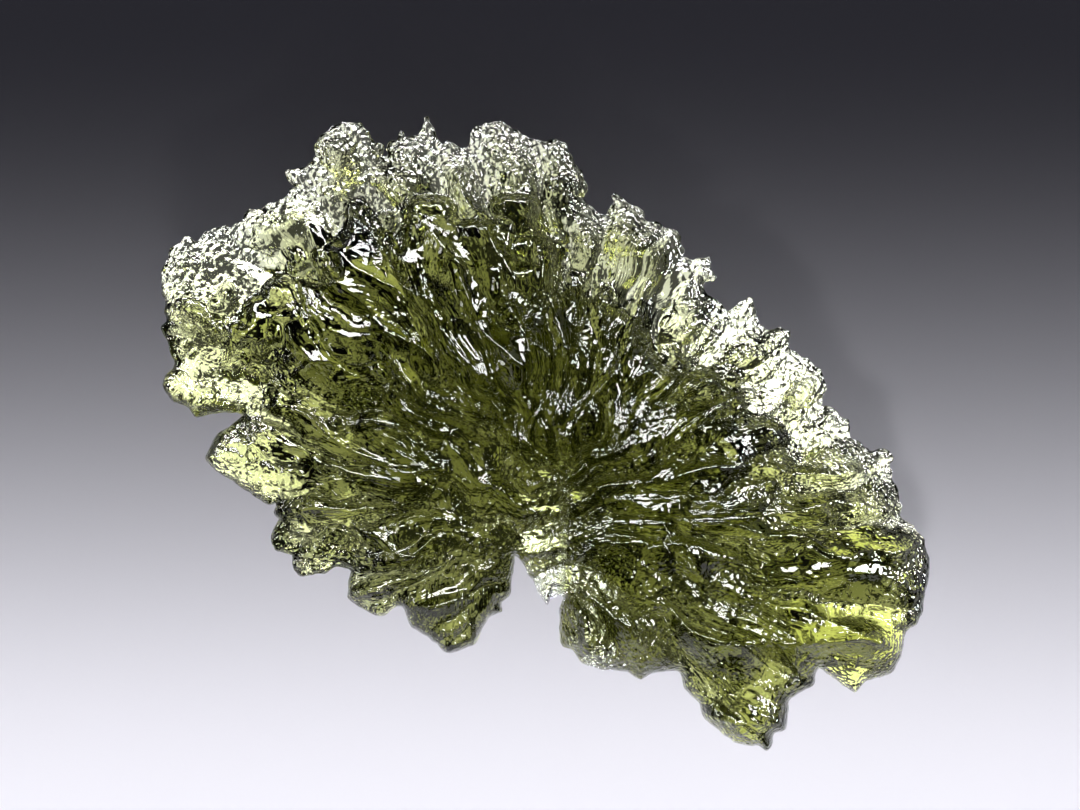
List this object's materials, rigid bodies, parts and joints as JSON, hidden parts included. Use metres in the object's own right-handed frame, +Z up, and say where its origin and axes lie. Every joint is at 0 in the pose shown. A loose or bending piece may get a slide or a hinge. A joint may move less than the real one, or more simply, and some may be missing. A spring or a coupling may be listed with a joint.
{
  "type": "moldavite",
  "caption": "Fan-shaped piece of clear green tektite glass with deep radiating furrows, a lobed rim and a stepped cleft, lying on its back as a display specimen.",
  "frame": {"origin": "centre of the bounding box at the lowest point, on the surface that the stone lies on", "axes": "+X along the fan to its right end, +Y to the crown, +Z up, out of the furrowed face"},
  "size_m": [0.0374, 0.0308, 0.0084],
  "materials": {
    "green_glass": "glossy, etched with fine pits"
  },
  "bodies": {
    "root": {"moldavite": "green_glass"}
  },
  "joints": []
}
